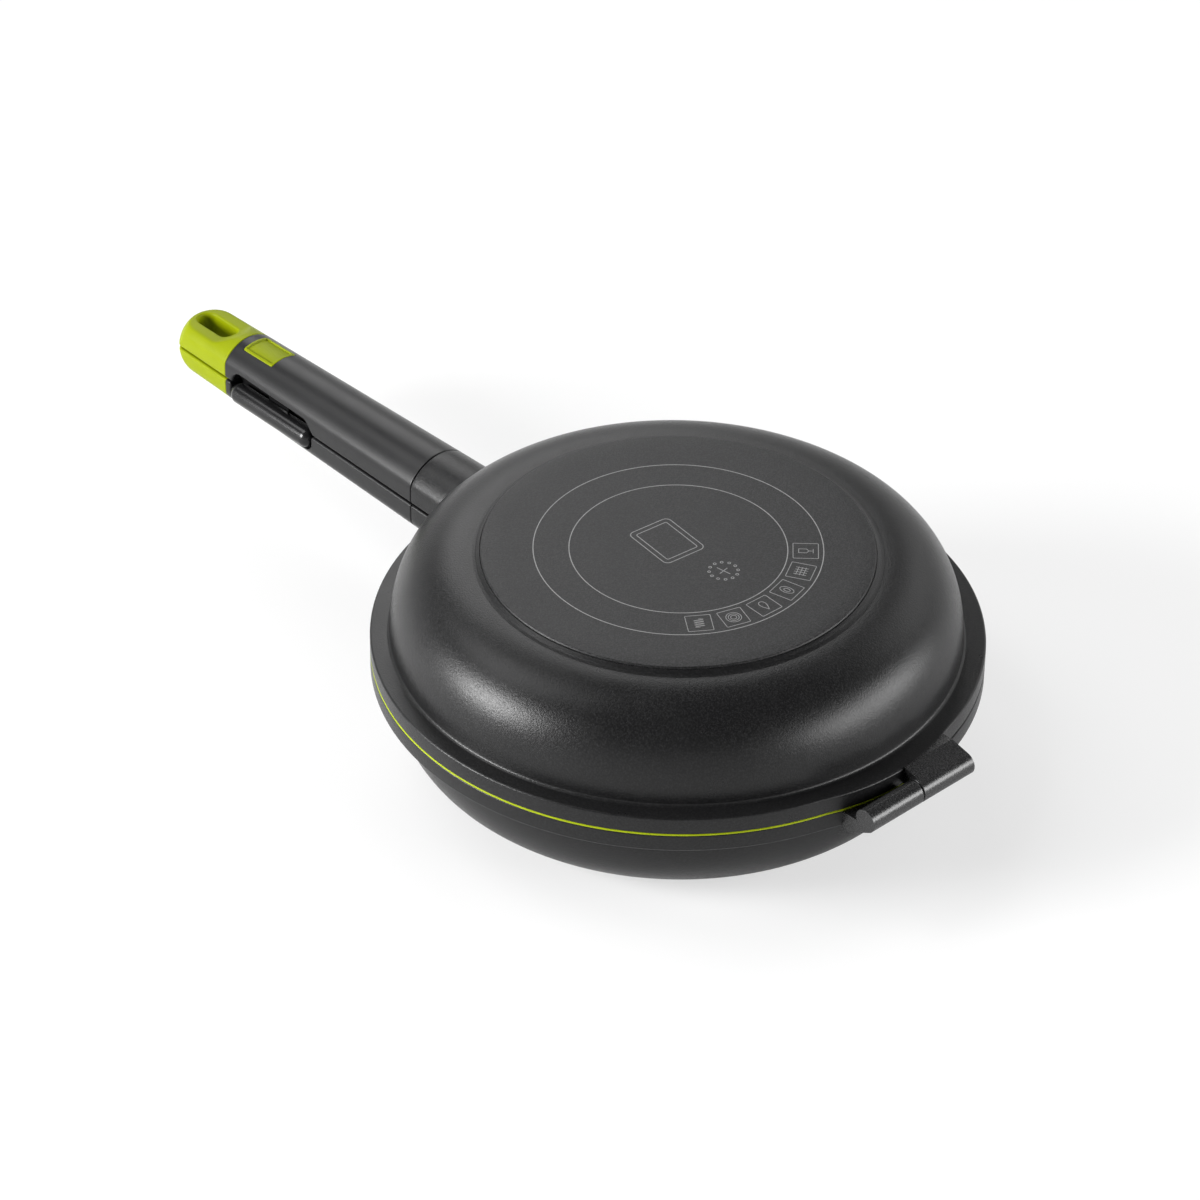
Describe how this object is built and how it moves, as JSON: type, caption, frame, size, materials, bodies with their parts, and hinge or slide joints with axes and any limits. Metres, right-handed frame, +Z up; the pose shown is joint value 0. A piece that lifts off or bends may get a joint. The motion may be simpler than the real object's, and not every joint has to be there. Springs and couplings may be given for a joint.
{
  "type": "double sided flip pan",
  "caption": "Two shallow round pans hinged rim to rim, closing on a soft seal ring, each with half of a round handle, a side latch bar and a slotted end cap",
  "frame": {"origin": "on the floor, under the middle of the lower pan's base disc", "axes": "+Z up through the middle of both pans, +X from the handle towards the hinge, +Y to the side away from the latch bar"},
  "size_m": [0.4767, 0.264, 0.1014],
  "materials": {
    "cast_body": "cast aluminium under a matt, finely sandy anthracite non-stick coating",
    "base_plate": "steel disc under the same matt, finely sandy anthracite coating",
    "seal_silicone": "satin lime green silicone",
    "cap_silicone": "satin lime green silicone",
    "badge_lime": "satin lime green, plain field inside a raised border",
    "grip_black": "smooth satin black thermoset",
    "latch_gloss": "glossy black",
    "steel": "plain machined steel",
    "brass": "plain turned brass"
  },
  "bodies": {
    "lower": {"lower_pan": "cast_body", "lower_base_disc": "base_plate", "seal_ring": "seal_silicone", "hinge_pin": "steel", "lower_grip": "grip_black", "lower_grip_inserts": "brass", "lower_tang_screws": "steel", "lower_end_cap": "cap_silicone", "latch_pin": "steel", "latch_leaf": "steel", "latch_leaf_screw": "steel"},
    "upper": {"upper_pan": "cast_body", "upper_base_disc": "base_plate", "upper_grip": "grip_black", "upper_grip_inserts": "brass", "upper_tang_screws": "steel", "upper_end_cap": "cap_silicone", "badge": "badge_lime", "latch_catch": "steel"},
    "latch": {"latch_lever": "latch_gloss"}
  },
  "joints": [
    {"name": "pan_hinge", "type": "hinge", "parent": "lower", "child": "upper", "pos_m": [0.1429, 0, 0.0525], "axis": [0, 1, 0], "range_deg": [0, 88]},
    {"name": "latch_swing", "type": "hinge", "parent": "lower", "child": "latch", "pos_m": [-0.25495, -0.0129, 0.0462], "axis": [1, 0, 0], "range_deg": [0, 40]}
  ]
}
